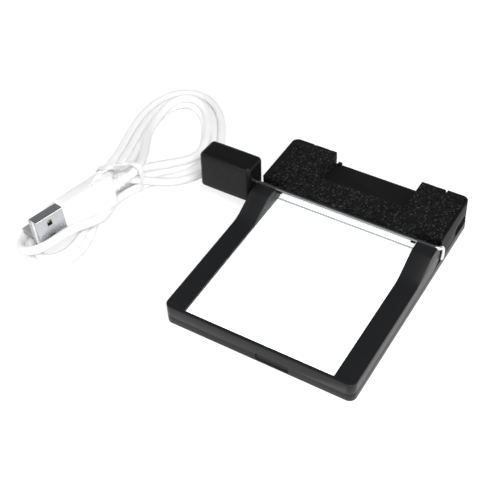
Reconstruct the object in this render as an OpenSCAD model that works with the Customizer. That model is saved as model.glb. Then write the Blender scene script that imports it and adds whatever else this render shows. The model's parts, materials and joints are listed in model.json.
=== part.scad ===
// Slide viewer: a thin light panel with a hinged lid that holds a clear window,
// a rear housing with a foam pad, a block grip on the hinge rod, and a separate power lead.
// X runs left to right, Y front to rear, Z up. The origin is the middle of the resting face.

/* [Base] */
// Width of the base, left to right
base_w = 70; // [60:1:84]
// Depth of the base, front to rear
base_d = 89.4; // [84:0.1:104]
// Height of the base's edge, where the lid rests on it
base_h = 3.2; // [3:0.1:4]
// Radius of the outer corners, seen from above
corner_r = 2.5; // [1.5:0.1:3.5]
// Thickness of the bottom cover
cover_t = 1.2; // [1:0.1:1.5]
// Width of the rim left around the bottom cover
rim_w = 2; // [1.6:0.1:2.6]
// Width of the finger notch in the front edge
finger_w = 12; // [8:1:20]
// Depth of the finger notch into the front edge
finger_d = 0.6; // [0.4:0.1:1.3]
// Height of the finger notch's foot above the table
finger_z = 0.7; // [0.5:0.1:1.5]

/* [Light panel] */
// Thickness of the reflector sheet
reflector_t = 0.2; // [0.1:0.05:0.3]
// Thickness of the edge-lit guide
guide_t = 2.8; // [2.6:0.1:3]
// Thickness of the opal diffuser
diffuser_t = 0.8; // [0.6:0.1:1]
// Number of lamps along the guide's rear edge
led_count = 8; // [4:1:10]

/* [Lid] */
// Height of the lid's flat top above the table
lid_h = 8; // [7.6:0.1:9]
// Width of each arm
arm_w = 7.5; // [6.5:0.1:9]
// Width of the front bar's top
bar_w = 1.4; // [1.2:0.1:2]
// Length of the slope between the flat top and the hinge end
ramp_l = 10.5; // [8:0.5:13]
// Radius of the rounded hinge ends
knuckle_r = 4.8; // [4.4:0.1:5]
// Thickness of the clear window
window_t = 1.1; // [0.8:0.1:1.3]
// Depth of the window's face below the lid's top
window_sink = 1.1; // [0.8:0.1:1.3]

/* [Hinge rod] */
// Diameter of the hinge rod
rod_d = 1.4; // [1.2:0.1:1.6]
// Running clearance around the rod, on the radius
rod_play = 0.05; // [0.03:0.01:0.08]
// How far the bent corner stands out round the rod
elbow = 0.15; // [0.1:0.05:0.25]

/* [Rear housing] */
// Depth of the rear housing
block_d = 26.3; // [22:0.1:30]
// Height of the rear housing's rim
block_h = 13; // [12:0.1:14]
// Height of the floor that the foam pad lies on
pad_floor = 8; // [7.8:0.1:8.6]
// Wall thickness of the housing
wall = 1.6; // [1.2:0.1:2]
// Width of the rim left of the foam pad
side_rim = 2; // [1.6:0.1:3]
// Width of the rim right of the foam pad
thin_rim = 0.9; // [0.8:0.1:3]
// Width of each corner tab of the rear wall
tab_w = 8.4; // [5:0.1:11]

/* [Foam pad] */
// Height of the pad above the housing's rim
pad_rise = 0.5; // [0:0.1:1]
// Width of the gap in the pad
notch_w = 34; // [24:1:38]
// Depth of the gap in the pad, from the rear
notch_d = 15.5; // [10:0.5:17]

/* [Block grip] */
// Length of the grip along the rod
grip_w = 21.3; // [16:0.1:26]
// Thickness of the grip
grip_d = 9.9; // [8:0.1:10.4]
// Height of the grip
grip_h = 15.6; // [11:0.1:16]
// Radius of the grip's edges
grip_r = 1.6; // [1:0.1:2.5]
// Angle that the closed grip leans back
grip_lean = 3.4; // [0:0.1:6]
// Gap between the grip and the base
grip_gap = 0.9; // [0.6:0.1:3]

/* [Power socket] */
// Width of the socket's shell
socket_w = 7.5; // [7:0.1:8]
// Height of the socket's shell
socket_h = 2.6; // [2.4:0.1:2.8]
// Distance of the socket's middle from the rear edge
socket_from_rear = 7; // [6.5:0.1:9]

/* [Lead] */
// Diameter of the lead
cable_d = 3.2; // [2.8:0.1:3.4]
// Length of the large plug's metal shell that shows
plug_nose = 11.5; // [11:0.5:13]
// Length of the large plug's body
plug_body = 23; // [20:1:24]
// Length of the small plug's body
micro_body = 16; // [14:1:18]

/* [Hidden] */
$fn = 64;

eps = 0.01;             // overrun of a cut past the face it opens
fit = 0.15;             // clearance between parts that drop into each other
gap = 0.5;              // clearance between the lid and the raised light panel
side_gap = 0.35;        // clearance round the lid's hinge ends

// Lid and hinge
rod_r = rod_d / 2;
block_front = base_d - block_d;
hinge_y = block_front - rod_r - 0.2;
hinge_z = block_h - 0.7;
hinge_top = hinge_z + rod_r;
knuckle_y = hinge_y - 2;
knuckle_z = hinge_top - knuckle_r;
cheek_front = knuckle_y + knuckle_r + side_gap;
arm_room = arm_w + side_gap;
ramp_end = knuckle_y - 3.2;
ramp_start = ramp_end - ramp_l;
window_top = lid_h - window_sink;
window_z = window_top - window_t;
window_lap = 2;         // how far the window reaches under the arms
window_rear = hinge_y + 1.5;
window_front = bar_w / 2;

// Light panel
panel_x = arm_w - window_lap - fit + 0.3;
panel_w = base_w - 2 * panel_x;
panel_y = bar_w + gap;
panel_rear = block_front + 6.9;
guide_z = cover_t + reflector_t;
diffuser_z = guide_z + guide_t + 0.1;
well_wall = 0.7;
well_x = panel_x + well_wall;
well_w = panel_w - 2 * well_wall;
well_y = panel_y + well_wall;
guide_rear = panel_rear - 4;
led_d = 1.4;
led_h = 2;
led_w = 3;
led_board_t = 0.8;

// Rear housing
housing_inset = 0.1;    // the base stands this far proud of the housing
roof_t = 1.2;
roof_z = pad_floor - roof_t;
inner_wall_y = panel_rear + 0.4;
rear_sink = 0.6;        // the rear wall between the tabs lies this far in
pad_top = block_h + pad_rise;
lip_t = 0.8;
lip_h = block_h - 0.9;
clip_w = 1.6;
clip_places = [arm_w + 0.7, base_w - arm_w - 0.7 - clip_w];
slope_front_z = roof_z + 3.6;
slope_rear_y = block_front + 3.2;
port_w = socket_w + 1.7;
port_h = socket_h + 1.2;
bay_x = wall + 1.8;
bay_y = panel_rear + 1.6;
bay_rear = base_d - wall - 1.8;
board_z = 2.8;
board_t = 1;
board_y = bay_y + 4.8;
board_d = bay_rear - 0.4 - board_y;
board_l = 40;
board_x = base_w - wall - 2.4 - board_l;
chip_w = 5;
chip_h = 2.4;
wire_r = 0.4;
wire_gap = 1.4;
wire_x = board_x + 2 * wire_r;
socket_y = base_d - socket_from_rear;
socket_z = board_z + board_t;
socket_l = 5.6;
socket_x = base_w - wall - housing_inset - 0.2 - socket_l;

// Screws and magnets
screw_r = 0.65;
screw_head_r = 1.4;
screw_head_h = 0.7;
screw_l = 2.6;
screw_in = 5;
screw_post_r = 2.5;
screw_places = [for (x = [screw_in, base_w - screw_in], y = [screw_in, panel_rear + 3.8]) [x, y]];
magnet_r = 1.5;
magnet_t = 1.5;
magnet_places = [for (x = [arm_w / 2 - 1, base_w - arm_w / 2 + 1]) [x, 9.5]];

// Angle of the rod on the round hinge end, and the hook that follows that end
rod_angle = atan2(hinge_z - knuckle_z, hinge_y - knuckle_y);
hook_r = norm([hinge_z - knuckle_z, hinge_y - knuckle_y]);
hook_x = base_w + 0.3;
hook_end = -30;

// Grip
grip_hold = 12;         // length of rod held in the grip
grip_up = 0.5;          // how far the grip's middle is above the rod

// Lead. The hank lies on the left, tied at its waist, and the large plug stands on edge in it.
cable_r = cable_d / 2;
// One round of the hank along its outermost run, from the right of the waist over the rear end.
hank_loop = [[-45, 47.6], [-38.4, 55], [-30, 62.4], [-27, 70.5], [-28.8, 79], [-32.3, 87.5], [-36.6, 94.8],
    [-41.8, 100.8], [-48, 105.6], [-55, 107.5], [-61.6, 105.2], [-66.6, 99.4], [-68.7, 90], [-67.6, 79],
    [-64.8, 68], [-62, 57.5], [-61.4, 48], [-63.4, 38.5], [-66.2, 29.5], [-67.6, 20], [-67, 11], [-63.2, 3.2],
    [-57, -2], [-50.4, -3], [-45.2, 0.6], [-43.2, 8.2], [-43.6, 17.5], [-45.6, 26.5], [-47.6, 34.5], [-47.6, 41.4]];
// The gap in the front loop, beside and below the large plug
hank_gap = [[-55.4, 8], [-50.6, 8.6], [-49, 13], [-49.8, 22], [-52.6, 30], [-56, 33], [-58.6, 26], [-58.4, 14]];
hank_pitch = cable_d + 0.1;
hank_h = cable_d;
tie_t = 0.5;
tie_w = 2.6;
tie_y = 48.6;

plug_w = 12;
plug_t = 4.5;
plug_sheet = 0.3;
plug_turn = 76.5;
plug_lean = -8;
plug_rise = -2;
plug_over_w = 13.4;
plug_over_t = 6.4;
plug_edge = 1.2;
plug_sunk = 2.5;
plug_relief_l = 8;
plug_tip = [-55.3, 2.8, 11.7];
plug_axis = [cos(plug_rise) * cos(plug_turn), cos(plug_rise) * sin(plug_turn), sin(plug_rise)];
plug_end = plug_tip + (plug_nose + plug_body + plug_relief_l) * plug_axis;

micro_turn = 77;
micro_nose = 5.6;
micro_w = 6.9;
micro_t = 1.85;
micro_over_w = 8;
micro_over_t = 5.6;
micro_sunk = 2;
micro_relief_l = 6;
micro_tip = [-62.2, 5.5, hank_h + micro_over_t / 2];
micro_axis = [cos(micro_turn), sin(micro_turn), 0];
micro_end = micro_tip + (micro_nose + micro_body + micro_relief_l) * micro_axis;

// Route of the lead where it isn't in the hank
start_route = [plug_end, plug_end + 2 * plug_axis, [-45.4, 51.5, 9.6], [-48, 58.5, 8.4],
    [-52.6, 66, 6.8], [-57, 73, 5.4]];
end_route = [micro_end, micro_end + 2 * micro_axis, [-53.9, 41, 5.4], [-51, 46.8, 5.1]];

// ---------------------------------------------------------------- helpers

// Moves a piece drawn from the base's front left corner to the part's own frame
module place() {
    translate([-base_w / 2, -base_d / 2, 0]) children();
}

// A rectangle with round corners, from its low corner
module round_rect(w, d, r) {
    translate([r, 0]) square([w - 2 * r, d]);
    translate([0, r]) square([w, d - 2 * r]);
    for (x = [r, w - r], y = [r, d - r]) translate([x, y]) circle(r);
}

// A block with every edge round, about its middle
module round_block(w, d, h, r) {
    intersection() {
        translate([-w / 2, -d / 2, -h / 2]) linear_extrude(h) round_rect(w, d, r);
        rotate([90, 0, 0]) translate([-w / 2, -h / 2, -d / 2]) linear_extrude(d) round_rect(w, h, r);
        rotate([90, 0, 90]) translate([-d / 2, -h / 2, -w / 2]) linear_extrude(w) round_rect(d, h, r);
    }
}

// A side profile in Y and Z, carried along X from x to x + w
module along_x(x, w) {
    translate([x, 0, 0]) rotate([90, 0, 90]) linear_extrude(w) children();
}

// A round bar along X
module bar_x(x, w, y, z, r) {
    translate([x, y, z]) rotate([0, 90, 0]) cylinder(h = w, r = r);
}

// The points of a round bend of radius r at b, on the way from a to c
function bend(a, b, c, r, n = 8) =
    let (u = (a - b) / norm(a - b), v = (c - b) / norm(c - b),
         half = acos(u * v) / 2, run = r / tan(half),
         mid = b + (u + v) / norm(u + v) * r / sin(half),
         p = b + u * run - mid, q = b + v * run - mid,
         a0 = atan2(p[1], p[0]), turn = atan2(p[0] * q[1] - p[1] * q[0], p * q))
    [for (i = [0:n]) mid + r * [cos(a0 + turn * i / n), sin(a0 + turn * i / n)]];

// The outline of the base, seen from above, moved in by a distance
module base_outline(inset = 0) {
    translate([inset, inset]) round_rect(base_w - 2 * inset, base_d - 2 * inset, corner_r - inset * 0.5);
}

// A shallow recess in the front edge that a fingernail finds, from its foot up to a height
module finger_notch(top) {
    translate([base_w / 2, -1, finger_z]) cube([finger_w, finger_d + 1, top - finger_z]);
}

// ---------------------------------------------------------------- base

module base_tray() {
    color("#26272a") place() difference() {
        union() {
            linear_extrude(base_h) base_outline();
            translate([panel_x, panel_y, 0]) cube([panel_w, panel_rear - panel_y, diffuser_z]);
        }
        // seat of the bottom cover
        translate([0, 0, -eps]) linear_extrude(cover_t + eps) base_outline(rim_w);
        // well of the light panel
        translate([well_x, well_y, 0]) cube([well_w, panel_rear - well_wall - well_y, diffuser_z + 1]);
        // bay under the rear housing
        difference() {
            translate([bay_x, bay_y, 0]) cube([base_w - 2 * bay_x, bay_rear - bay_y, base_h + 1]);
            for (p = screw_places) translate([p[0], p[1], cover_t]) cylinder(h = base_h, r = screw_post_r);
        }
        // the wires' way from the board to the lamps
        translate([wire_x - 2 * wire_r, panel_rear - 1, cover_t]) cube([wire_gap + 4 * wire_r, 3, base_h]);
        // finger notch
        finger_notch(base_h + 1);
        // screw holes
        for (p = screw_places) translate([p[0], p[1], 0]) cylinder(h = screw_l + 0.2, r = screw_r + 0.05);
        // magnet seats
        for (p = magnet_places) translate([p[0], p[1], base_h - magnet_t]) cylinder(h = magnet_t + 1, r = magnet_r + 0.05);
    }
}

module bottom_cover() {
    color("#232427") place() difference() {
        union() {
            linear_extrude(cover_t) base_outline(rim_w + fit);
            for (x = [base_w - 12, base_w - 36]) translate([x, board_y + board_d / 2, 0])
                cylinder(h = board_z, r = 2.2);
        }
        for (p = screw_places) translate([p[0], p[1], -eps]) {
            cylinder(h = screw_head_h + 2 * eps, r1 = screw_head_r + 0.1, r2 = screw_r + 0.1);
            cylinder(h = cover_t + 1, r = screw_r + 0.1);
        }
    }
}

module cover_screws() {
    color("#8c8f94") place() for (p = screw_places) translate([p[0], p[1], 0.05]) difference() {
        union() {
            cylinder(h = screw_head_h, r1 = screw_head_r, r2 = screw_r);
            cylinder(h = screw_l - 0.05, r = screw_r);
        }
        for (a = [0, 90]) rotate([0, 0, a]) translate([-0.8, -0.14, -eps]) cube([1.6, 0.28, 0.45]);
    }
}

module reflector_sheet() {
    color("white") place() translate([well_x + fit, well_y + fit, cover_t])
        cube([well_w - 2 * fit, guide_rear - well_y - fit, reflector_t]);
}

module light_guide() {
    color("#eef4f6") place() translate([well_x + fit, well_y + fit, guide_z])
        cube([well_w - 2 * fit, guide_rear - well_y - fit, guide_t]);
}

module diffuser() {
    color("white") place() translate([panel_x, panel_y, diffuser_z])
        cube([panel_w, panel_rear - panel_y, diffuser_t]);
}

module led_board() {
    color("#f2f2ee") place() translate([well_x + 1, guide_rear + 0.1 + led_d, cover_t])
        cube([well_w - 2, led_board_t, guide_t]);
}

module leds() {
    pitch = (well_w - 2) / led_count;
    color("#f6e9a8") place() for (i = [0:led_count - 1])
        translate([well_x + 1 + pitch * (i + 0.5) - led_w / 2, guide_rear + 0.1, guide_z + 0.2])
            difference() {
                cube([led_w, led_d, led_h]);
                translate([0.4, -1, 0.4]) cube([led_w - 0.8, 1.3, led_h - 0.8]);
            }
}

module led_wires() {
    color("#b3352c") place() for (i = [0, 1])
        translate([wire_x + wire_gap * i, guide_rear + 0.1 + led_d + led_board_t, cover_t + 0.7])
            rotate([-90, 0, 0]) cylinder(h = board_y - guide_rear - led_d - led_board_t + 1.2, r = wire_r);
}

module driver_board() {
    color("#1f5b3a") place() translate([board_x, board_y, board_z])
        cube([board_l, board_d, board_t]);
}

module driver_parts() {
    top = board_z + board_t;
    color("#3a3a3c") place() translate([board_x, board_y, top]) {
        translate([3, 2, 0]) linear_extrude(chip_h) round_rect(chip_w, chip_w, 1);
        translate([12, 2.2, 0]) cube([chip_w - 1, chip_w - 1, 1]);
        for (y = [1, 5.6]) translate([19.5, y, 0]) cube([2.2, 1.6, 1.2]);
        translate([25, 4.4, 0]) cylinder(h = 1.6, r = 1.6);
    }
}

// The socket's mouth, wider above than below
module socket_outline(w, h) {
    polygon([[-w / 2 + 0.9, 0], [w / 2 - 0.9, 0], [w / 2, 1], [w / 2, h], [-w / 2, h], [-w / 2, 1]]);
}

module socket_shell() {
    color("#c3c6ca") place() along_x(socket_x, socket_l) translate([socket_y, socket_z]) difference() {
        socket_outline(socket_w, socket_h);
        translate([0, 0.3]) socket_outline(socket_w - 0.6, socket_h - 0.6);
    }
}

module socket_tongue() {
    color("#2b2b2d") place() {
        translate([socket_x + 0.05, socket_y - 2, socket_z + 1.5]) cube([socket_l - 1, 4, 0.6]);
        translate([socket_x + 0.05, socket_y - 2.4, socket_z + 0.4]) cube([0.8, 4.8, 1.8]);
    }
}

module base_magnets() {
    color("#a9acb1") place() for (p = magnet_places)
        translate([p[0], p[1], base_h - magnet_t + eps]) cylinder(h = magnet_t - 2 * eps, r = magnet_r);
}

// ---------------------------------------------------------------- rear housing

// The front wall that slopes back under the rod, so the lit panel shows below it
module housing_front() {
    polygon([[block_front, lip_h], [block_front, slope_front_z], [slope_rear_y, roof_z],
        [slope_rear_y + 1.6, roof_z], [slope_rear_y + 1.6, pad_floor], [slope_rear_y, pad_floor],
        [block_front + lip_t, slope_front_z + 0.5], [block_front + lip_t, lip_h]]);
}

// A hook that holds the rod from behind and below, open towards the front
module rod_clip() {
    difference() {
        union() {
            translate([hinge_y, hinge_z]) circle(rod_r + 0.6);
            translate([hinge_y, hinge_z - rod_r - 0.5]) square([block_front + lip_t - hinge_y, rod_r + 0.5]);
        }
        translate([hinge_y, hinge_z]) circle(rod_r + rod_play);
        translate([hinge_y, hinge_z]) polygon([[0, 0], [0.9, 3], [-3, 3], [-3, -1.4]]);
    }
}

module rear_housing() {
    color("#2a2b2e") place() difference() {
        union() {
            // body behind the light panel
            intersection() {
                translate([0, 0, base_h]) linear_extrude(block_h - base_h) base_outline(housing_inset);
                translate([0, inner_wall_y, 0]) cube([base_w, base_d, block_h]);
            }
            // cheeks beside the light panel
            for (x = [housing_inset, base_w - panel_x + fit])
                translate([x, cheek_front, base_h]) cube([panel_x - fit - housing_inset, block_d / 2, block_h - base_h]);
            along_x(housing_inset, base_w - 2 * housing_inset) housing_front();
            translate([panel_x - 1, slope_rear_y, roof_z]) cube([panel_w + 2, block_d / 2, roof_t]);
            for (x = clip_places) along_x(x, clip_w) rod_clip();
        }
        // bed of the foam pad
        translate([side_rim, slope_rear_y, pad_floor])
            cube([base_w - side_rim - thin_rim, base_d - wall - slope_rear_y, block_h]);
        translate([tab_w, base_d - wall - 1, pad_floor]) cube([base_w - 2 * tab_w, wall + 2, block_h]);
        along_x(side_rim, base_w - side_rim - thin_rim) polygon([
            [block_front + lip_t, block_h + 1], [block_front + lip_t, slope_front_z + 0.5],
            [slope_rear_y, pad_floor], [slope_rear_y + 1, pad_floor], [slope_rear_y + 1, block_h + 1]]);
        // the rear wall between the tabs lies further in
        translate([tab_w, base_d - rear_sink, base_h - 1]) cube([base_w - 2 * tab_w, 2, block_h]);
        // bay for the electronics
        translate([wall + 2, inner_wall_y + 1.2, base_h - 1])
            cube([base_w - 2 * wall - 4, base_d - rear_sink - wall - inner_wall_y - 1.2, roof_z - base_h + 1]);
        // power socket
        translate([socket_x - 2, socket_y - socket_w / 2 - fit, socket_z - fit])
            cube([base_w - wall - socket_x + 2.2, socket_w + 2 * fit, socket_h + 2 * fit]);
        along_x(base_w - wall, wall + 1) translate([socket_y - port_w / 2, socket_z + socket_h / 2 - port_h / 2])
            round_rect(port_w, port_h, port_h / 2 - eps);
        // room for the lid's hinge ends and for the rod's hook
        for (x = [-1, base_w - arm_room]) translate([x, block_front - 1, base_h - 1])
            cube([arm_room + 1, cheek_front - block_front + 1, block_h]);
        bar_x(base_w - 1.2, 3, knuckle_y, knuckle_z, hook_r + rod_r + side_gap);
        // a 0.4 mm slot under the rear housing keeps it clear of the panel
        translate([panel_x - fit, block_front - 1, base_h - 1])
            cube([panel_w + 2 * fit, inner_wall_y - block_front + 1, roof_z - base_h + 1]);
    }
    // stud that keeps the foam pad's inner corner in place
    color("#2a2b2e") place() translate([base_w / 2 - notch_w / 2 + 0.9, base_d - rear_sink - 1.4, pad_floor])
        cube([1.4, 1.3, 1.3]);
}

// The pad's outline from above: a broad U, open to the rear, stepped round the corner tabs
module pad_outline(inset = 0) {
    left = side_rim + fit + inset;
    right = base_w - thin_rim - fit - inset;
    front = block_front + inset;
    shoulder = cheek_front + fit + inset;
    arm = arm_room + 0.1 + inset;
    rear = base_d - rear_sink - 0.1 - inset;
    step = base_d - wall - fit - inset;
    tab = tab_w + fit + inset;
    notch_l = base_w / 2 - notch_w / 2 - inset;
    notch_r = base_w / 2 + notch_w / 2 + inset;
    notch_front = base_d - notch_d - inset;
    polygon([[left, shoulder], [arm, shoulder], [arm, front], [base_w - arm, front],
        [base_w - arm, shoulder], [right, shoulder], [right, step], [base_w - tab, step], [base_w - tab, rear],
        [notch_r, rear], [notch_r, notch_front], [notch_l, notch_front], [notch_l, rear],
        [tab, rear], [tab, step], [left, step]]);
}

module pad_tape() {
    color("#4a4a4a") place() difference() {
        translate([0, 0, pad_floor]) linear_extrude(0.15) pad_outline(0.5);
        translate([0, 0, pad_floor - 1]) cube([base_w, slope_rear_y + 0.3, 3]);
    }
}

module foam_pad() {
    color("#1c1c1e") place() difference() {
        translate([0, 0, pad_floor + 0.15]) linear_extrude(pad_top - pad_floor - 0.15) pad_outline();
        // clear of the front wall, its slope and the rod's clips
        along_x(-1, base_w + 2) polygon([[block_front - 1, lip_h + 0.05], [block_front - 1, pad_floor - 1],
            [slope_rear_y + fit, pad_floor - 1], [slope_rear_y + fit, pad_floor + 0.1],
            [block_front + lip_t + fit, slope_front_z + 0.6], [block_front + lip_t + fit, lip_h + 0.05]]);
        for (x = clip_places) translate([x - fit, block_front - 1, lip_h - 1])
            cube([clip_w + 2 * fit, lip_t + 1 + fit, block_h]);
    }
}

// ---------------------------------------------------------------- lid

// Side profile of an arm: flat, rising to the hinge end, and round behind
module arm_profile() {
    a = [window_front, lid_h];
    b = [ramp_start, lid_h];
    c = [ramp_end, hinge_top];
    d = [knuckle_y, hinge_top];
    polygon(concat([[0, base_h], [0, lid_h]], bend(a, b, c, 12), bend(b, c, d, 5),
        [d, [knuckle_y, base_h]]));
    translate([knuckle_y, knuckle_z]) circle(knuckle_r);
}

// The rod: straight through the arms, bent down at the right and hooked round the hinge end
module rod_form(r) {
    start = -grip_gap - grip_hold;
    bar_x(start, hook_x - start, hinge_y, hinge_z, r);
    translate([hook_x, hinge_y, hinge_z]) sphere(r + elbow);
    translate([hook_x, knuckle_y, knuckle_z]) rotate([90, 0, 90]) rotate([0, 0, hook_end])
        rotate_extrude(angle = rod_angle - hook_end) translate([hook_r, 0]) circle(r);
}

module lid_frame() {
    color("#2e2f32") place() difference() {
        intersection() {
            union() {
                along_x(0, arm_w) arm_profile();
                along_x(base_w - arm_w, arm_w) arm_profile();
                translate([0, 0, base_h]) cube([base_w, bar_w, lid_h - base_h]);
            }
            linear_extrude(hinge_top + 1) base_outline();
        }
        // rebate that the window is bonded in, open below
        translate([arm_w - window_lap - fit, window_front - fit / 2, base_h - 1])
            cube([base_w - 2 * (arm_w - window_lap - fit), window_rear - window_front + 4, window_top - base_h + 1]);
        translate([base_w / 2, -1, base_h - 1]) cube([finger_w, 1.35, 1.7]);
        // seat of the rod and its hook
        rod_form(rod_r + 0.02);
        for (p = magnet_places) translate([p[0], p[1], base_h - 1]) cylinder(h = magnet_t + 1, r = magnet_r + 0.05);
    }
}

module window_plate() {
    color("#e4eef2", 0.4) place() translate([arm_w - window_lap, window_front, window_z])
        cube([base_w - 2 * (arm_w - window_lap), window_rear - window_front, window_t]);
}

module lid_magnets() {
    color("#a9acb1") place() for (p = magnet_places)
        translate([p[0], p[1], base_h + eps]) cylinder(h = magnet_t - 2 * eps, r = magnet_r);
}

module hinge_rod() {
    color("#b9bcc0") place() rod_form(rod_r);
}

module grip_block() {
    color("#2c2d30") place() difference() {
        translate([-grip_gap - grip_w / 2, hinge_y, hinge_z]) rotate([-grip_lean, 0, 0])
            translate([0, 0, grip_up]) round_block(grip_w, grip_d, grip_h, grip_r);
        bar_x(-grip_gap - grip_hold - 0.1, grip_hold + 1, hinge_y, hinge_z, rod_r + 0.02);
    }
}

// ---------------------------------------------------------------- lead

// A plug's own frame: X from the tip to the lead, Z across the wide face
module at_plug() {
    place() translate(plug_tip) rotate([0, -plug_rise, plug_turn]) rotate([plug_lean, 0, 0]) children();
}

module at_micro() {
    place() translate(micro_tip) rotate([0, 0, micro_turn]) rotate([90, 0, 0]) children();
}

// A tapered, ringed sleeve along X
module relief(l, r1, r2) {
    rotate([0, 90, 0]) difference() {
        cylinder(h = l, r1 = r1, r2 = r2);
        for (i = [1:3]) translate([0, 0, l * i / 4]) difference() {
            cylinder(h = l / 10, r = r1 + 1);
            translate([0, 0, -1]) cylinder(h = l, r = r2 - 0.35);
        }
    }
}

module plug_shell() {
    l = plug_nose + plug_sunk;
    color("#c9ccd0") at_plug() difference() {
        along_x(0, l) translate([-plug_t / 2, -plug_w / 2]) round_rect(plug_t, plug_w, 0.6);
        translate([-1, -plug_t / 2 + plug_sheet, -plug_w / 2 + plug_sheet])
            cube([l + 2, plug_t - 2 * plug_sheet, plug_w - 2 * plug_sheet]);
        for (z = [-3, 3]) translate([4.4, -plug_t, z - 1.1]) cube([2, 2 * plug_t, 2.2]);
    }
}

module plug_insert() {
    color("#f1f1ee") at_plug() {
        translate([0.6, 0.1, -plug_w / 2 + 0.6]) cube([plug_nose + 1.4, plug_t / 2 - plug_sheet - 0.15, plug_w - 1.2]);
        translate([plug_nose - 0.4, -plug_t / 2 + 0.4, -plug_w / 2 + 0.6]) cube([2.4, plug_t / 2 - 0.3, plug_w - 1.2]);
    }
}

module plug_contacts() {
    color("#c9a14a") at_plug() for (z = [-3.5, -1, 1, 3.5])
        translate([1.4, -0.1, z - 0.5]) cube([7.4, 0.2, 1]);
}

module plug_overmold() {
    color("#f4f4f2") at_plug() difference() {
        translate([plug_nose + plug_body / 2, 0, 0]) round_block(plug_body, plug_over_t, plug_over_w, plug_edge);
        translate([plug_nose - 1, -plug_t / 2 - 0.05, -plug_w / 2 - 0.05])
            cube([plug_sunk + 1.05, plug_t + 0.1, plug_w + 0.1]);
    }
}

module plug_relief() {
    color("#f4f4f2") at_plug() translate([plug_nose + plug_body, 0, 0]) relief(plug_relief_l, 2.6, cable_r + 0.25);
}

module micro_outline(w, t) {
    polygon([[-t / 2, -w / 2 + 0.7], [-t / 2, w / 2 - 0.7], [0, w / 2], [t / 2, w / 2], [t / 2, -w / 2], [0, -w / 2]]);
}

module micro_shell() {
    color("#c9ccd0") at_micro() difference() {
        along_x(0, micro_nose + micro_sunk) micro_outline(micro_w, micro_t);
        along_x(-1, micro_nose + micro_sunk + 2) micro_outline(micro_w - 0.5, micro_t - 0.5);
    }
}

module micro_insert() {
    color("#2b2b2d") at_micro() translate([0.8, -0.55, -2.4]) cube([micro_nose + micro_sunk - 0.9, 0.5, 4.8]);
}

module micro_overmold() {
    color("#f4f4f2") at_micro() difference() {
        translate([micro_nose + micro_body / 2, 0, 0]) round_block(micro_body, micro_over_t, micro_over_w, 1.2);
        translate([micro_nose - 1, -micro_t / 2 - 0.05, -micro_w / 2 - 0.05])
            cube([micro_sunk + 1.05, micro_t + 0.1, micro_w + 0.1]);
    }
}

module micro_relief() {
    color("#f4f4f2") at_micro() translate([micro_nose + micro_body, 0, 0]) relief(micro_relief_l, 2.3, cable_r + 0.2);
}

// A point of the hank's outermost run; turn counts rounds
function hank_line(turn) =
    let (n = len(hank_loop), q = turn * n, i = floor(q), t = q - i,
         a = hank_loop[(i + n - 1) % n], b = hank_loop[i % n], c = hank_loop[(i + 1) % n], d = hank_loop[(i + 2) % n])
    0.5 * (2 * b + (c - a) * t + (2 * a - 5 * b + 4 * c - d) * t * t + (3 * b - a - 3 * c + d) * t * t * t);

// The same, moved towards the hank's middle
function hank_point(turn, inset) =
    let (ahead = hank_line(turn + 0.004) - hank_line(turn + 0.996))
    hank_line(turn) - inset * [ahead[1], -ahead[0]] / norm(ahead);

module lead_hank() {
    hole = 2 * hank_pitch + cable_r + 0.2;
    color("#f4f4f2") place() linear_extrude(hank_h) difference() {
        polygon([for (i = [0:89]) hank_point(i / 90, -cable_r)]);
        polygon([for (i = [10:40]) hank_point(i / 90, hole)]);
        polygon(hank_gap);
    }
}

// Direction of a route at its point i
function heading(route, i) =
    let (n = len(route) - 1, d = route[min(i + 1, n)] - route[max(i - 1, 0)]) d / norm(d);

// One ring of a tube round a route's point
function ring(p, d, r, sides) =
    let (side = cross(d, [0, 0, 1]) / norm(cross(d, [0, 0, 1])), up = cross(side, d))
    [for (k = [0:sides - 1]) p + r * (cos(360 * k / sides) * side + sin(360 * k / sides) * up)];

module tube(route, r, sides = 8) {
    n = len(route);
    points = [for (i = [0:n - 1]) each ring(route[i], heading(route, i), r, sides)];
    walls = [for (i = [0:n - 2], k = [0:sides - 1]) let (m = (k + 1) % sides)
        [i * sides + k, i * sides + m, (i + 1) * sides + m, (i + 1) * sides + k]];
    polyhedron(points, concat(walls, [[for (k = [sides - 1:-1:0]) k], [for (k = [0:sides - 1]) (n - 1) * sides + k]]));
}

module lead_start() {
    color("#f4f4f2") place() tube(start_route, cable_r);
}

module lead_end() {
    color("#f4f4f2") place() tube(end_route, cable_r);
}

// The tie's arch over the left runs and the large plug's end, seen along the hank
module tie_arch(grow) {
    polygon([[-63 - grow, hank_h], [-62 - grow, 4.6], [-54 - grow, 8], [-47.4 - grow, 12 + grow],
        [-43 + grow, 12 + grow], [-42.8 + grow, 9], [-44.4 + grow, hank_h]]);
}

module lead_tie() {
    color("#ececea") place() translate([0, tie_y + tie_w / 2, 0]) rotate([90, 0, 0]) linear_extrude(tie_w)
        difference() {
            tie_arch(tie_t);
            tie_arch(0);
        }
}

// ---------------------------------------------------------------- nodes

base_tray();
bottom_cover();
cover_screws();
reflector_sheet();
light_guide();
diffuser();
led_board();
leds();
led_wires();
driver_board();
driver_parts();
socket_shell();
socket_tongue();
rear_housing();
pad_tape();
foam_pad();
base_magnets();
lid_frame();
window_plate();
lid_magnets();
hinge_rod();
grip_block();
plug_shell();
plug_insert();
plug_contacts();
plug_overmold();
plug_relief();
micro_shell();
micro_insert();
micro_overmold();
micro_relief();
lead_hank();
lead_start();
lead_end();
lead_tie();
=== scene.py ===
"""Looks of a slide viewer: a lit panel under a hinged clear window, a rear housing with a foam pad,
a block grip on the hinge rod, and a separate power lead tied in a hank.

Sizes of shapes are given in millimetres and made metres with MM, or by at()."""

import json
from math import atan2, cos, degrees, pi, radians, sin, sqrt

import bmesh
import bpy
from mathutils import Matrix, Vector, noise


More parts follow.
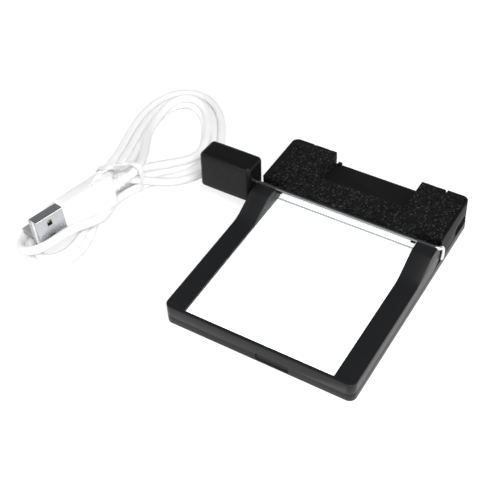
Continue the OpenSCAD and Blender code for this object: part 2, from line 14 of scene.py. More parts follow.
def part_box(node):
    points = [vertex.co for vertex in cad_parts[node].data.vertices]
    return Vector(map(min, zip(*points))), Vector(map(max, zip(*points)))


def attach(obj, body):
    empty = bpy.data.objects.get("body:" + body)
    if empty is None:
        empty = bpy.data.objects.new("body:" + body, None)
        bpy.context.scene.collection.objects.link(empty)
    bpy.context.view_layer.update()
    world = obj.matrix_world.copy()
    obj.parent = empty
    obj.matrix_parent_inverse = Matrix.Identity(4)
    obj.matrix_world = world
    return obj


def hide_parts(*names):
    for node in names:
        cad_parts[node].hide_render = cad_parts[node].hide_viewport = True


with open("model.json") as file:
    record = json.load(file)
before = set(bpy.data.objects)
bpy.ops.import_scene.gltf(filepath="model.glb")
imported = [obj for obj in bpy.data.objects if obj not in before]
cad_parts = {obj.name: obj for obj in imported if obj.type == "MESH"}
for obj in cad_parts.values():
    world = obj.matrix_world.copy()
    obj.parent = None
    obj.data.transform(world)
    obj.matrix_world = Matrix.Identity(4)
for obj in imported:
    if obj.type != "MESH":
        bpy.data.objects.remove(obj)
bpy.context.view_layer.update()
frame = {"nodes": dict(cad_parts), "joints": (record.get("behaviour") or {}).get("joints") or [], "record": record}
MM = 0.001
NODES = frame["nodes"]
SLOT_OF = {s["node"]: s["material_slot"] for s in frame["record"]["subparts"]}
BODY_OF = {node: body for body, members in frame["record"]["behaviour"]["bodies"].items()
           for node in members}
BASE_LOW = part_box("base_tray")[0]


def at(x, y, z):
    """A point in millimetres from the base's front left corner on the table, in the row frame."""
    return Vector((BASE_LOW.x + x * MM, BASE_LOW.y + y * MM, z * MM))


# ---------------------------------------------------------------- camera

VIEW_YAW = 33.896
VIEW_PITCH = 45.697
VIEW_ROLL = -3.991
VIEW_FROM = (0.1173, -0.2213, 0.2711)
VIEW_LENS = 78.39
VIEW_SENSOR = 36


def make_camera():
    """The camera, turned left by its yaw, down by its pitch, and rolled about its line of sight."""
    yaw, pitch, roll = radians(VIEW_YAW), radians(VIEW_PITCH), radians(VIEW_ROLL)
    ahead = Vector((-sin(yaw) * cos(pitch), cos(yaw) * cos(pitch), -sin(pitch)))
    right = ahead.cross(Vector((0, 0, 1))).normalized()
    up = right.cross(ahead)
    right, up = cos(roll) * right + sin(roll) * up, cos(roll) * up - sin(roll) * right
    data = bpy.data.cameras.new("camera")
    data.lens = VIEW_LENS
    data.sensor_width = VIEW_SENSOR
    data.clip_start = 0.01
    camera = bpy.data.objects.new("camera", data)
    turned = Matrix((right, up, -ahead)).transposed().to_4x4()
    camera.matrix_world = Matrix.Translation(VIEW_FROM) @ turned
    bpy.context.scene.collection.objects.link(camera)
    bpy.context.scene.camera = camera


make_camera()

# ---------------------------------------------------------------- nodes and groups


def add(tree, kind, inputs=None, **settings):
    """A new node, with its settings, and its inputs given as values or as sockets to link."""
    node = tree.nodes.new(kind)
    for name, value in settings.items():
        setattr(node, name, value)
    for name, value in (inputs or {}).items():
        if isinstance(value, bpy.types.NodeSocket):
            tree.links.new(value, node.inputs[name])
        else:
            node.inputs[name].default_value = value
    return node


def own_place(tree):
    """The place on a piece, in the piece's own coordinates."""
    return add(tree, "ShaderNodeTexCoord").outputs["Object"]


def math_node(tree, operation, a, b=0.0, c=0.0, clamp=False):
    """One sum on values or sockets."""
    return add(tree, "ShaderNodeMath", {0: a, 1: b, 2: c}, operation=operation,
               use_clamp=clamp).outputs[0]


def noise_at(tree, where, scale, detail=2.0, roughness=0.5):
    """A noise value that changes over the surface."""
    return add(tree, "ShaderNodeTexNoise", {
        "Vector": where, "Scale": scale, "Detail": detail, "Roughness": roughness}).outputs["Fac"]


def spread(tree, value, start, end, low=0.0, high=1.0):
    """A value's span from start to end, spread from low to high and held there outside it."""
    return add(tree, "ShaderNodeMapRange", {
        "Value": value, "From Min": start, "From Max": end,
        "To Min": low, "To Max": high}).outputs[0]


def relief_from(tree, height, strength, depth):
    """A normal from a height; the depth is in metres."""
    return add(tree, "ShaderNodeBump", {
        "Strength": strength, "Distance": depth, "Height": height}).outputs["Normal"]


def make_group(name, inputs, outputs, build):
    """A shader node group; build gets the tree and its inputs and returns its outputs by name."""
    tree = bpy.data.node_groups.new(name, "ShaderNodeTree")
    for label, kind, value in inputs:
        socket = tree.interface.new_socket(
            label, in_out="INPUT", socket_type="NodeSocket" + kind)
        socket.default_value = value
    for label, kind in outputs:
        tree.interface.new_socket(label, in_out="OUTPUT", socket_type="NodeSocket" + kind)
    given = tree.nodes.new("NodeGroupInput").outputs
    result = tree.nodes.new("NodeGroupOutput")
    for label, socket in build(tree, given).items():
        tree.links.new(socket, result.inputs[label])
    return tree


def build_moulding(tree, given):
    """Fine moulded grain, a slow drift of gloss, and a few faint rub marks."""
    rub_polish, tone_low, tone_span = 0.05, 0.75, 0.5
    where = own_place(tree)
    fine = noise_at(tree, where, given["Grain"], 3.0, 0.6)
    slow = noise_at(tree, where, 90.0, 4.0, 0.55)
    streaked = add(tree, "ShaderNodeMapping", {
        "Vector": where, "Rotation": (0.2, 0.1, 0.7), "Scale": (60.0, 1400.0, 600.0)})
    rubs = spread(tree, noise_at(tree, streaked.outputs[0], 1.0), 0.66, 0.78)
    drift = math_node(tree, "MULTIPLY", slow, given["Drift"])
    rough = math_node(tree, "ADD", given["Roughness"], drift)
    polished = math_node(tree, "MULTIPLY", rubs, rub_polish)
    return {"Roughness": math_node(tree, "SUBTRACT", rough, polished, clamp=True),
            "Normal": relief_from(tree, fine, given["Relief"], 0.05 * MM),
            "Tone": math_node(tree, "MULTIPLY_ADD", slow, tone_span, tone_low)}


def build_edges(tree, given):
    """A mask of the worn edges: where the normal of a rounded edge leaves the true one."""
    rounded = add(tree, "ShaderNodeBevel", {"Radius": given["Radius"]}, samples=6)
    true = add(tree, "ShaderNodeNewGeometry").outputs["Normal"]
    agree = add(tree, "ShaderNodeVectorMath", {0: rounded.outputs[0], 1: true},
                operation="DOT_PRODUCT")
    return {"Mask": spread(tree, agree.outputs["Value"], 0.98, 0.72)}


def build_drawn(tree, given):
    """Lines left on metal by drawing or rolling it, along an axis turned from X about Z."""
    line_roughness = 0.22
    where = own_place(tree)
    turned = add(tree, "ShaderNodeVectorRotate", {"Vector": where, "Angle": given["Turn"]},
                 rotation_type="Z_AXIS")
    stretched = add(tree, "ShaderNodeMapping", {
        "Vector": turned.outputs[0], "Scale": given["Stretch"]})
    lines = noise_at(tree, stretched.outputs[0], 1.0, 4.0)
    return {"Roughness": math_node(tree, "MULTIPLY_ADD", lines, line_roughness, given["Roughness"]),
            "Normal": relief_from(tree, lines, 0.25, 0.02 * MM),
            "Tone": noise_at(tree, where, 350.0, 3.0)}


def build_cells(tree, given):
    """Open cells of a foam: round pits between thin struts, given as relief and as painted shade, and a painted
    glint on some smaller cells.
    """
    stir_by, finer, small_share, glint_size, glint_gain = 0.6 * MM, 1.35, 0.5, 0.42, 2.2
    where = own_place(tree)
    stir = add(tree, "ShaderNodeTexNoise", {"Vector": where, "Scale": 700.0, "Detail": 1.0})
    moved = add(tree, "ShaderNodeVectorMath", {0: stir.outputs["Color"], 1: (stir_by,) * 3},
                operation="MULTIPLY")
    stirred = add(tree, "ShaderNodeVectorMath", {0: where, 1: moved.outputs[0]},
                  operation="ADD").outputs[0]
    large = add(tree, "ShaderNodeTexVoronoi", {"Vector": stirred, "Scale": given["Cells"]},
                feature="DISTANCE_TO_EDGE")
    small = add(tree, "ShaderNodeTexVoronoi", {
        "Vector": stirred, "Scale": math_node(tree, "MULTIPLY", given["Cells"], finer)})
    # How deep each pit is: it shapes the relief and, as painted shade, darkens the colour in the pits.
    pit = spread(tree, large.outputs["Distance"], 0.0, 0.26, 1.0, 0.0)
    rise = math_node(tree, "MULTIPLY", small.outputs["Distance"], small_share)
    height = math_node(tree, "ADD", pit, rise)
    # Painted glint: a bright spot on some of the smaller cells, where a cell wall would catch the light.
    drawn = add(tree, "ShaderNodeTexWhiteNoise", {"Vector": small.outputs["Position"]})
    chance = drawn.outputs["Value"]
    chosen = math_node(tree, "GREATER_THAN", chance, given["Rarity"])
    near = math_node(tree, "LESS_THAN", small.outputs["Distance"], glint_size)
    over = math_node(tree, "SUBTRACT", chance, given["Rarity"])
    shine = math_node(tree, "MULTIPLY", over, glint_gain)
    glint = math_node(tree, "MULTIPLY", chosen, near)
    return {"Painted Pit Shade": pit, "Painted Glint": math_node(tree, "MULTIPLY", glint, shine, clamp=True),
            "Normal": relief_from(tree, height, 0.9, 0.4 * MM)}


WORN_RADIUS = 0.3 * MM
SURFACE_OUT = [("Roughness", "Float"), ("Normal", "Vector"), ("Tone", "Float")]
MOULDING = make_group(
    "moulding",
    [("Grain", "Float", 2600.0), ("Relief", "Float", 0.3), ("Roughness", "Float", 0.35),
     ("Drift", "Float", 0.12)],
    SURFACE_OUT, build_moulding)
EDGES = make_group("edges", [("Radius", "Float", WORN_RADIUS)], [("Mask", "Float")], build_edges)
DRAWN = make_group(
    "drawn_metal",
    [("Stretch", "Vector", (60.0, 5000.0, 5000.0)), ("Turn", "Float", 0.0),
     ("Roughness", "Float", 0.2)],
    SURFACE_OUT, build_drawn)
CELLS = make_group(
    "foam_cells", [("Cells", "Float", 1500.0), ("Rarity", "Float", 0.86)],
    [("Painted Pit Shade", "Float"), ("Painted Glint", "Float"), ("Normal", "Vector")], build_cells)

# ---------------------------------------------------------------- materials


def new_material(name):
    """An empty material and its tree."""
    material = bpy.data.materials.new(name)
    material.use_nodes = True
    material.node_tree.nodes.clear()
    return material, material.node_tree


def use(tree, group, inputs):
    """A shader node group, with values for its inputs."""
    return add(tree, "ShaderNodeGroup", inputs, node_tree=group)


def skin_of(group):
    """The roughness and the normal that a group puts out, as a surface's inputs."""
    return {name: group.outputs[name] for name in ("Roughness", "Normal")}


def show(tree, shader):
    """Ends a material's tree with its shader."""
    add(tree, "ShaderNodeOutputMaterial", {"Surface": shader.outputs[0]})


def coat(tree, inputs):
    """Ends a material's tree in a Principled surface."""
    show(tree, add(tree, "ShaderNodeBsdfPrincipled", inputs))


DARK_PLASTIC, DARK_METAL = 0.82, 0.85
WORN_PALER = 0.06


def darker(colour, share):
    """A colour at a share of its brightness."""
    return tuple(c * share for c in colour)


def shade(tree, low, high, factor):
    """A colour between two, by a value."""
    mix = add(tree, "ShaderNodeMix", {"Factor": factor}, data_type="RGBA")
    for socket, value in ((6, low), (7, high)):
        if isinstance(value, bpy.types.NodeSocket):
            tree.links.new(value, mix.inputs[socket])
        else:
            mix.inputs[socket].default_value = (*value, 1)
    return mix.outputs[2]


def plastic(name, colour, roughness, grain=2600.0, relief=0.3, wear=0.0, sub=0.0, shine=0.5):
    """A moulded plastic: its grain, drift of gloss, and paler worn edges."""
    material, tree = new_material(name)
    skin = use(tree, MOULDING, {
        "Grain": grain, "Relief": relief, "Roughness": roughness, "Drift": 0.12})
    base = shade(tree, darker(colour, DARK_PLASTIC), colour, skin.outputs["Tone"])
    if wear:
        edges = use(tree, EDGES, {"Radius": WORN_RADIUS})
        pale = tuple(min(1.0, c + WORN_PALER * wear) for c in colour)
        base = shade(tree, base, pale, math_node(tree, "MULTIPLY", edges.outputs["Mask"], wear))
    coat(tree, {
        "Base Color": base, **skin_of(skin), "Specular IOR Level": shine, "Subsurface Weight": sub,
        "Subsurface Radius": (1.0, 0.97, 0.94), "Subsurface Scale": 1 * MM})
    return material


def metal(name, colour, roughness, stretch, turn=0.0):
    """A bright metal with the lines of its drawing or rolling, along X or turned from it."""
    material, tree = new_material(name)
    grain = use(tree, DRAWN, {
        "Stretch": stretch, "Turn": radians(-turn), "Roughness": roughness})
    base = shade(tree, darker(colour, DARK_METAL), colour, grain.outputs["Tone"])
    coat(tree, {"Base Color": base, "Metallic": 1.0, **skin_of(grain)})
    return material


def drawn_wire():
    """The hinge rod's steel: dull along the straight, with a painted highlight at the hook's bend."""
    highlight_from, highlight_at = 2.6 * MM, 1.3 * MM
    material, tree = new_material("drawn_wire")
    grain = use(tree, DRAWN, {"Stretch": (50.0, 5200.0, 5200.0), "Roughness": 0.18})
    along = add(tree, "ShaderNodeSeparateXYZ", {"Vector": own_place(tree)}).outputs["X"]
    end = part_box("hinge_rod")[1].x
    # Painted highlight: the wire's colour turns near-white towards the hook's bend, where it would catch the
    # light.
    painted_highlight = spread(tree, along, end - highlight_from, end - highlight_at)
    dull = shade(tree, (0.17, 0.172, 0.176), (0.23, 0.233, 0.24), grain.outputs["Tone"])
    base = shade(tree, dull, (0.88, 0.88, 0.89), painted_highlight)
    coat(tree, {"Base Color": base, "Metallic": 1.0, **skin_of(grain)})
    return material


def foam():
    """Black open-cell foam: painted shade darkening its pits, and faint painted glints on some cell walls."""
    material, tree = new_material("foam")
    cells = use(tree, CELLS, {"Cells": 1150.0, "Rarity": 0.55})
    # Painted shade: dark in the pits and paler on the struts between them, with painted glints on top.
    base = shade(tree, (0.0006, 0.0006, 0.0006), (0.0105, 0.0105, 0.0108), cells.outputs["Painted Pit Shade"])
    base = shade(tree, base, (0.085, 0.085, 0.086), cells.outputs["Painted Glint"])
    coat(tree, {"Base Color": base, "Roughness": 0.62, "Normal": cells.outputs["Normal"],
                "Specular IOR Level": 0.09})
    return material


def clear_sheet(name, tint, edge, gloss):
    """A clear sheet that lets light straight through with a faint tint, with painted shade on its edges for the
    darkening that refraction gives them, and a few faint smears.
    """
    material, tree = new_material(name)
    smear = noise_at(tree, own_place(tree), 60.0, 5.0)
    rough = spread(tree, smear, 0.4, 0.7, 0.02, gloss)
    geometry = add(tree, "ShaderNodeNewGeometry").outputs
    outside = math_node(tree, "SUBTRACT", 1.0, geometry["Backfacing"])
    fresnel = add(tree, "ShaderNodeFresnel", {"IOR": 1.49}).outputs[0]
    face = add(tree, "ShaderNodeVectorTransform", {"Vector": geometry["True Normal"]},
               vector_type="NORMAL", convert_from="WORLD", convert_to="OBJECT")
    up = add(tree, "ShaderNodeSeparateXYZ", {"Vector": face.outputs[0]}).outputs["Z"]
    painted_edge_shade = math_node(tree, "LESS_THAN", math_node(tree, "ABSOLUTE", up), 0.5)
    # Painted shade: the edge faces let through only grey, for the darkening that refraction gives a sheet's edges.
    through = add(tree, "ShaderNodeBsdfTransparent", {"Color": shade(tree, tint, edge, painted_edge_shade)})
    mirror = add(tree, "ShaderNodeBsdfGlossy", {"Color": (1, 1, 1, 1), "Roughness": rough})
    show(tree, add(tree, "ShaderNodeMixShader", {
        0: math_node(tree, "MULTIPLY", fresnel, outside), 1: through.outputs[0],
        2: mirror.outputs[0]}))
    return material


def lit_sheet():
    """The opal diffuser: it glows almost evenly."""
    material, tree = new_material("diffuser_lit")
    glow_low, glow_span = 0.78, 0.15
    where = own_place(tree)
    dots = noise_at(tree, where, 2000.0)
    slow = noise_at(tree, where, 30.0, 1.0)
    colour = shade(tree, (0.97, 0.985, 1.0), (1.0, 1.0, 0.99), dots)
    coat(tree, {"Base Color": colour, "Roughness": 0.45, "Emission Color": colour,
                "Emission Strength": math_node(tree, "MULTIPLY_ADD", slow, glow_span, glow_low)})
    return material


def spotted(name, ground, mark, scale, rough):
    """A printed or soldered surface: a ground with small marks in rows."""
    material, tree = new_material(name)
    cells = add(tree, "ShaderNodeTexVoronoi", {
        "Vector": own_place(tree), "Scale": scale, "Randomness": 0.35})
    dot = math_node(tree, "LESS_THAN", cells.outputs["Distance"], 0.3)
    skin = use(tree, MOULDING, {"Grain": 3000.0, "Relief": 0.2, "Roughness": rough, "Drift": 0.1})
    coat(tree, {"Base Color": shade(tree, ground, mark, dot), **skin_of(skin)})
    return material


FINISH = {
    "case": plastic("case_black", (0.0098, 0.0101, 0.011), 0.3, wear=0.5, shine=0.26),
    "grip": plastic("grip_black", (0.0058, 0.006, 0.0066), 0.22, relief=0.2, wear=0.4, shine=0.17),
    "foam": foam(),
    # The window's second colour is the painted shade on its edges.
    "window": clear_sheet("window_clear", (0.985, 0.992, 0.99), (0.46, 0.47, 0.47), 0.08),
    "white_sheet": plastic("white_sheet", (0.86, 0.86, 0.85), 0.5, relief=0.1),
    "clear_guide": spotted("guide_dotted", (0.84, 0.88, 0.9), (0.95, 0.96, 0.97), 1400.0, 0.15),
    "led_board": spotted("led_board_white", (0.85, 0.85, 0.82), (0.75, 0.55, 0.2), 260.0, 0.4),
    "leds": spotted("led_phosphor", (0.9, 0.88, 0.8), (0.9, 0.7, 0.12), 500.0, 0.35),
    "wires": plastic("wire_red", (0.42, 0.03, 0.02), 0.35),
    "board": spotted("board_green", (0.012, 0.1, 0.045), (0.55, 0.5, 0.42), 420.0, 0.35),
    "board_parts": plastic("part_black", (0.03, 0.03, 0.031), 0.4, relief=0.5),
    "bright_metal": metal("plated_steel", (0.66, 0.67, 0.69), 0.16, (70.0, 4200.0, 4200.0)),
    "black_insert": plastic("insert_black", (0.02, 0.02, 0.021), 0.4),
    "tape": plastic("tape_tissue", (0.05, 0.05, 0.052), 0.7, grain=900.0, relief=0.8),
    "magnets": metal("nickel", (0.62, 0.61, 0.6), 0.12, (900.0, 900.0, 900.0)),
    "screws": metal("zinc", (0.5, 0.51, 0.53), 0.22, (1500.0, 1500.0, 400.0)),
    "rod": drawn_wire(),
    "white_plastic": plastic("white_moulding", (0.92, 0.92, 0.92), 0.38, relief=0.25, sub=0.1),
    # Painted shade: the gold is darkened to dark brown, for the shade inside the plugs' shells.
    "contacts": metal("gold_flash_painted_shade", (0.32, 0.225, 0.085), 0.3, (80.0, 3000.0, 3000.0)),
    "lead": plastic("sheath_white", (0.93, 0.93, 0.93), 0.42, grain=1800.0, relief=0.2, sub=0.1),
    "tie": plastic("tie_white", (0.92, 0.92, 0.91), 0.45, grain=1500.0),
}

# ---------------------------------------------------------------- mesh helpers

WELD, WELD_COARSE, WELD_EXACT = 0.003 * MM, 0.03 * MM, 0.0002 * MM
SHARP, SMOOTH_BELOW = radians(32), radians(35)
BEVEL_SEGMENTS = 3


def object_from(name, bm):
    """A new object from a bmesh, with its faces turned outward."""
    bmesh.ops.recalc_face_normals(bm, faces=bm.faces)
    mesh = bpy.data.meshes.new(name)
    bm.to_mesh(mesh)
    bm.free()
    obj = bpy.data.objects.new(name, mesh)
    bpy.context.scene.collection.objects.link(obj)
    return obj


def settle(obj):
    """Applies the object's modifiers to its mesh."""
    bpy.context.view_layer.update()
    seen = obj.evaluated_get(bpy.context.evaluated_depsgraph_get())
    done = bpy.data.meshes.new_from_object(seen)
    done.name = obj.name
    obj.modifiers.clear()
    obj.data = done
    return obj


def edit(obj, change):
    """Makes one change to an object's mesh."""
    bm = bmesh.new()
    bm.from_mesh(obj.data)
    change(bm)
    bm.to_mesh(obj.data)
    bm.free()


def dress(obj, node, smooth_below=SMOOTH_BELOW):
    """Gives a finished piece the body, slot and material of the CAD node that it stands for."""
    def shade_smooth(bm):
        for face in bm.faces:
            face.smooth = True
        for edge in bm.edges:
            angle = edge.calc_face_angle(0)
            edge.smooth = len(edge.link_faces) == 2 and angle < smooth_below

    edit(obj, shade_smooth)
    obj.data.materials.clear()
    obj.data.materials.append(FINISH[SLOT_OF[node]])
    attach(obj, BODY_OF[node])
    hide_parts(node)
    return obj


def welded_copy(node, gap):
    """A bmesh of a CAD node, with points closer than the gap made one."""
    bm = bmesh.new()
    bm.from_mesh(NODES[node].data)
    bmesh.ops.remove_doubles(bm, verts=bm.verts, dist=gap)
    return bm


def merge_flat(bm, angle):
    """Makes one face of neighbours that turn by less than an angle in degrees."""
    bmesh.ops.dissolve_limit(bm, angle_limit=radians(angle), verts=bm.verts, edges=bm.edges)


def bevelled(node, bm, width, method, clamp):
    """An object whose sharp or marked edges have a bevel."""
    obj = object_from(node + "_shaped", bm)
    bevel = obj.modifiers.new("edges", "BEVEL")
    bevel.width = width * MM
    bevel.segments = BEVEL_SEGMENTS
    bevel.limit_method = method
    bevel.angle_limit = SHARP
    bevel.use_clamp_overlap = clamp
    return settle(obj)


def soften(node, width):
    """A copy of a CAD node with its sharp edges bevelled, as far as its short edges allow."""
    bm = welded_copy(node, WELD)
    merge_flat(bm, 0.6)
    return dress(bevelled(node, bm, width, "ANGLE", True), node)


def mark_clear(bm, width):
    """Marks the sharp edges that have no short edge beside them and so have room for a bevel."""
    room, in_line = 2.2 * width, 0.7
    mark = bm.edges.layers.float.new("bevel_weight_edge")
    sharp = {e for e in bm.edges if len(e.link_faces) == 2 and e.calc_face_angle(0) > SHARP}

    def along(edge):
        return (edge.verts[1].co - edge.verts[0].co).normalized()

    for edge in sharp:
        beside = [e for v in edge.verts for e in v.link_edges if e is not edge]
        if all(e.calc_length() >= room
               or (e in sharp and abs(along(e).dot(along(edge))) > in_line) for e in beside):
            edge[mark] = 1.0


def round_edges(node, width):
    """A copy of a CAD node whose clear sharp edges get a bevel of the full width."""
    bm = welded_copy(node, WELD_COARSE)
    merge_flat(bm, 1)
    mark_clear(bm, width * MM)
    obj = bevelled(node, bm, width, "WEIGHT", False)
    edit(obj, lambda made: bmesh.ops.remove_doubles(made, verts=made.verts, dist=WELD_EXACT))
    return dress(obj, node)


def ahead_at(points, i):
    """The direction of a path at one of its points."""
    return (points[min(i + 1, len(points) - 1)] - points[max(i - 1, 0)]).normalized()


def skin(bm, rings):
    """Closes a row of rings of points into a solid."""
    for near, far in zip(rings, rings[1:]):
        for k in range(len(near)):
            m = (k + 1) % len(near)
            bm.faces.new((near[k], near[m], far[m], far[k]))
    bm.faces.new(rings[0][::-1])
    bm.faces.new(rings[-1])


def wire(bm, points, radius, sides, end_size):
    """Carries a round section along a path without twisting it; both ends are a little smaller."""
    rings, side = [], ahead_at(points, 0).orthogonal().normalized()
    for i, point in enumerate(points):
        ahead = ahead_at(points, i)
        side = (side - ahead * side.dot(ahead)).normalized()
        up = ahead.cross(side)
        size = end_size if i in (0, len(points) - 1) else 1.0
        rings.append([bm.verts.new(point + (x * side + y * up) * size)
                      for x, y in ring(radius, sides)])
    skin(bm, rings)


def ring(radius, sides):
    """The points of a circle."""
    return [(radius * cos(2 * pi * k / sides), radius * sin(2 * pi * k / sides))
            for k in range(sides)]


def arc(centre, radius, start, end, steps):
    """Points of an arc in the plane of the side view, at the centre's x; angles in degrees."""
    angles = [radians(start + (end - start) * i / steps) for i in range(steps + 1)]
    return [centre + radius * Vector((0, cos(a), sin(a))) for a in angles]


def rounded_box(size, radius, segments):
    """A bmesh of a block about the origin with all its edges and corners round."""
    bm = bmesh.new()
    bmesh.ops.create_cube(bm, size=1)
    bmesh.ops.scale(bm, vec=size, verts=bm.verts)
    bmesh.ops.bevel(bm, geom=bm.edges[:], offset=radius, segments=segments, profile=0.5,
                    affect="EDGES", clamp_overlap=True)
    return bm


def lathe(bm, profile, sides):
    """Turns (along, radius) pairs round the X axis into a closed solid."""
    skin(bm, [[bm.verts.new((x, y, z)) for y, z in ring(r, sides)] for x, r in profile])


# ---------------------------------------------------------------- lead

CORD_R = 1.6
CORD_STEP, CORD_EASING, CORD_HELD = 1.0, 60, 6
HANK_LOOP = [
    (-45, 47.6), (-38.4, 55), (-30, 62.4), (-27, 70.5), (-28.8, 79), (-32.3, 87.5),
    (-36.6, 94.8), (-41.8, 100.8), (-48, 105.6), (-55, 107.5), (-61.6, 105.2), (-66.6, 99.4),
    (-68.7, 90), (-67.6, 79), (-64.8, 68), (-62, 57.5), (-61.4, 48), (-63.4, 38.5),
    (-66.2, 29.5), (-67.6, 20), (-67, 11), (-63.2, 3.2), (-57, -2), (-50.4, -3),
    (-45.2, 0.6), (-43.2, 8.2), (-43.6, 17.5), (-45.6, 26.5), (-47.6, 34.5), (-47.6, 41.4)]
HANK_PITCH = 2 * CORD_R + 0.1
HANK_FIRST, HANK_LAST, HANK_STEPS = 0.05, 3.4, 100
# Each round steps inward by a width, mostly on its right side, from this much outside the outermost
# run down to the deepest one.
HANK_OUTSET, HANK_SWAY, HANK_DEEPEST = 0.5, 0.25, 2.5
# Runs that spring outward: after and before which turn, by how many widths, and the share of the
# round where that starts, is full, fades and ends.
SPRUNG = [(1.1, HANK_LAST + 1, 1.0, (0.67, 0.73, 0.86, 0.93)),
          (2.1, 3.06, 0.75, (0.72, 0.8, 0.83, 0.9))]
LAST_SPRUNG = (3, 3.1, 3.25, 3.4)
# The last run crosses over the others at the waist, above this y: it climbs and moves outward.
WAIST_Y, WAIST_FADE, WAIST_FROM, WAIST_TO = 37, 4, 2.8, 3.1
WAIST_SHIFT, WAIST_SHIFT_TO, WAIST_CLIMB = 0.4, 3.04, 2.9
# How fast a change comes and goes, per turn, and the step that shows where the hank heads.
QUICK, HANK_LOOK = 20, 0.004
# From which turn a run rests on the one a round before it, and from which turn on the run this
# many widths in.
STACKED_FROM, TOP_FROM, TOP_DEPTH = 2.6, 3, 2
# The part of the first round that springs up round the large plug's tip, from the waist to the
# left side, and the turns at which the hank leaves it and takes it up again.
LIFTED = [
    (-49.2, 38, 1.6), (-46.6, 32.4, 2.4), (-43.6, 26.8, 4.4), (-44.5, 21.5, 7.1),
    (-46.7, 15, 9.3), (-48.8, 8.6, 10), (-49.6, 1.8, 9.3), (-54.2, -2.4, 7.8),
    (-58.8, -2.4, 5.8), (-63.2, 0.6, 3.6), (-66.4, 6.2, 2), (-67.4, 13, 1.6), (-67.6, 20, 1.6)]
LIFTED_AT, LANDED_AT = 1.02, 0.6
LEAD_START = [(-45.4, 51.5, 9.6), (-48, 58.5, 8.4), (-52.6, 66, 6.8), (-57, 73, 5.4)]
LEAD_END = [(-38.2, 53.6, 2.4), (-42, 50.8, 4.4), (-46, 48.6, 5.2), (-50.9, 45.8, 5.9),
            (-53.9, 40.6, 6.2)]
# The lead leaves each sleeve straight for this far.
LEAD_STRAIGHT = 2
PLUG_TURN, PLUG_LEAN, PLUG_RISE = 76.5, -8.0, -2.0
PLUG_TIP = at(-55.3, 2.8, 11.7)
PLUG_NOSE, PLUG_BODY, PLUG_RELIEF = 11.5, 23.0, 8.0
PLUG_SIZE, MICRO_SIZE = (6.4, 13.4), (5.6, 8)
MICRO_TURN = 77.0
MICRO_TIP = at(-62.2, 5.5, 2 * CORD_R + 2.8)
MICRO_NOSE, MICRO_BODY, MICRO_RELIEF = 5.6, 16.0, 6.0


def plug_frame():
    """Places what is drawn along X from the large plug's tip."""
    return (Matrix.Translation(PLUG_TIP) @ Matrix.Rotation(radians(PLUG_TURN), 4, "Z")
            @ Matrix.Rotation(radians(-PLUG_RISE), 4, "Y")
            @ Matrix.Rotation(radians(PLUG_LEAN), 4, "X"))


def micro_frame():
    """Places what is drawn along X from the small plug's tip, lying on its wide side."""
    return (Matrix.Translation(MICRO_TIP) @ Matrix.Rotation(radians(MICRO_TURN), 4, "Z")
            @ Matrix.Rotation(pi / 2, 4, "X"))


def spline(a, b, c, d, t):
    """The point between b and c of a smooth curve through four points."""
    return 0.5 * (2 * b + (c - a) * t + (2 * a - 5 * b + 4 * c - d) * t * t
                  + (3 * b - a - 3 * c + d) * t ** 3)


def clamp(value):
    return max(0.0, min(1.0, value))


def hank_line(turn):
    """The hank's outermost run, in millimetres; turn counts rounds from the right of the waist."""
    count = len(HANK_LOOP)
    i = int(turn * count // 1)
    four = (Vector(HANK_LOOP[(i + k) % count]) for k in (-1, 0, 1, 2))
    return spline(*four, turn * count - i)


def between(value, start, full, fading, end):
    """1 between full and fading, 0 outside start and end."""
    return clamp((value - start) / (full - start)) * clamp((end - value) / (end - fading))


def hank_inset(turn):
    """How far the lead lies inside the outermost run, in widths."""
    inset = min(turn + HANK_SWAY * sin(2 * pi * turn) - HANK_OUTSET, HANK_DEEPEST)
    for after, before, widths, span in SPRUNG:
        if after < turn < before:
            inset -= widths * between(turn % 1, *span)
    return inset - between(turn, *LAST_SPRUNG)


def stacked(apart):
    """How much higher a run lies that rests on a neighbour this many widths to its side."""
    return sqrt(max(0.0, 4 * CORD_R ** 2 - (apart * HANK_PITCH) ** 2))


def hank_point(turn):
    """The lead's centreline in the hank."""
    ahead = (hank_line(turn + HANK_LOOK) - hank_line(turn - HANK_LOOK)).normalized()
    here = hank_line(turn)
    inset, lift = hank_inset(turn), 0.0
    if turn > TOP_FROM:
        lift = clamp(QUICK * (turn - TOP_FROM)) * stacked(inset - TOP_DEPTH)
    elif turn > STACKED_FROM:
        lift = stacked(inset - hank_inset(turn - 1))
    waist = (clamp((here.y - WAIST_Y) / WAIST_FADE) * clamp(QUICK * (turn - WAIST_FROM))
             * clamp(QUICK * (WAIST_TO - turn)))
    inset -= WAIST_SHIFT * waist * clamp(QUICK * (WAIST_SHIFT_TO - turn))
    here -= inset * HANK_PITCH * Vector((ahead.y, -ahead.x))
    return at(here.x, here.y, CORD_R + max(lift, WAIST_CLIMB * waist))


def smooth_path(points, step):
    """A smooth curve through the points, as points about a step apart."""
    path = []
    for i in range(len(points) - 1):
        four = [points[max(0, min(len(points) - 1, i + k))] for k in (-1, 0, 1, 2)]
        count = max(2, round((four[2] - four[1]).length / step))
        path += [spline(*four, j / count) for j in range(count)]
    return path + [points[-1]]


def relaxed(path, rounds, ends):
    """The path as a springy lead would lie: its tight bends eased, with both ends held."""
    for _ in range(rounds):
        middle = [0.5 * path[i] + 0.25 * (path[i - 1] + path[i + 1])
                  for i in range(ends, len(path) - ends)]
        path = path[:ends] + middle + path[-ends:]
    return path


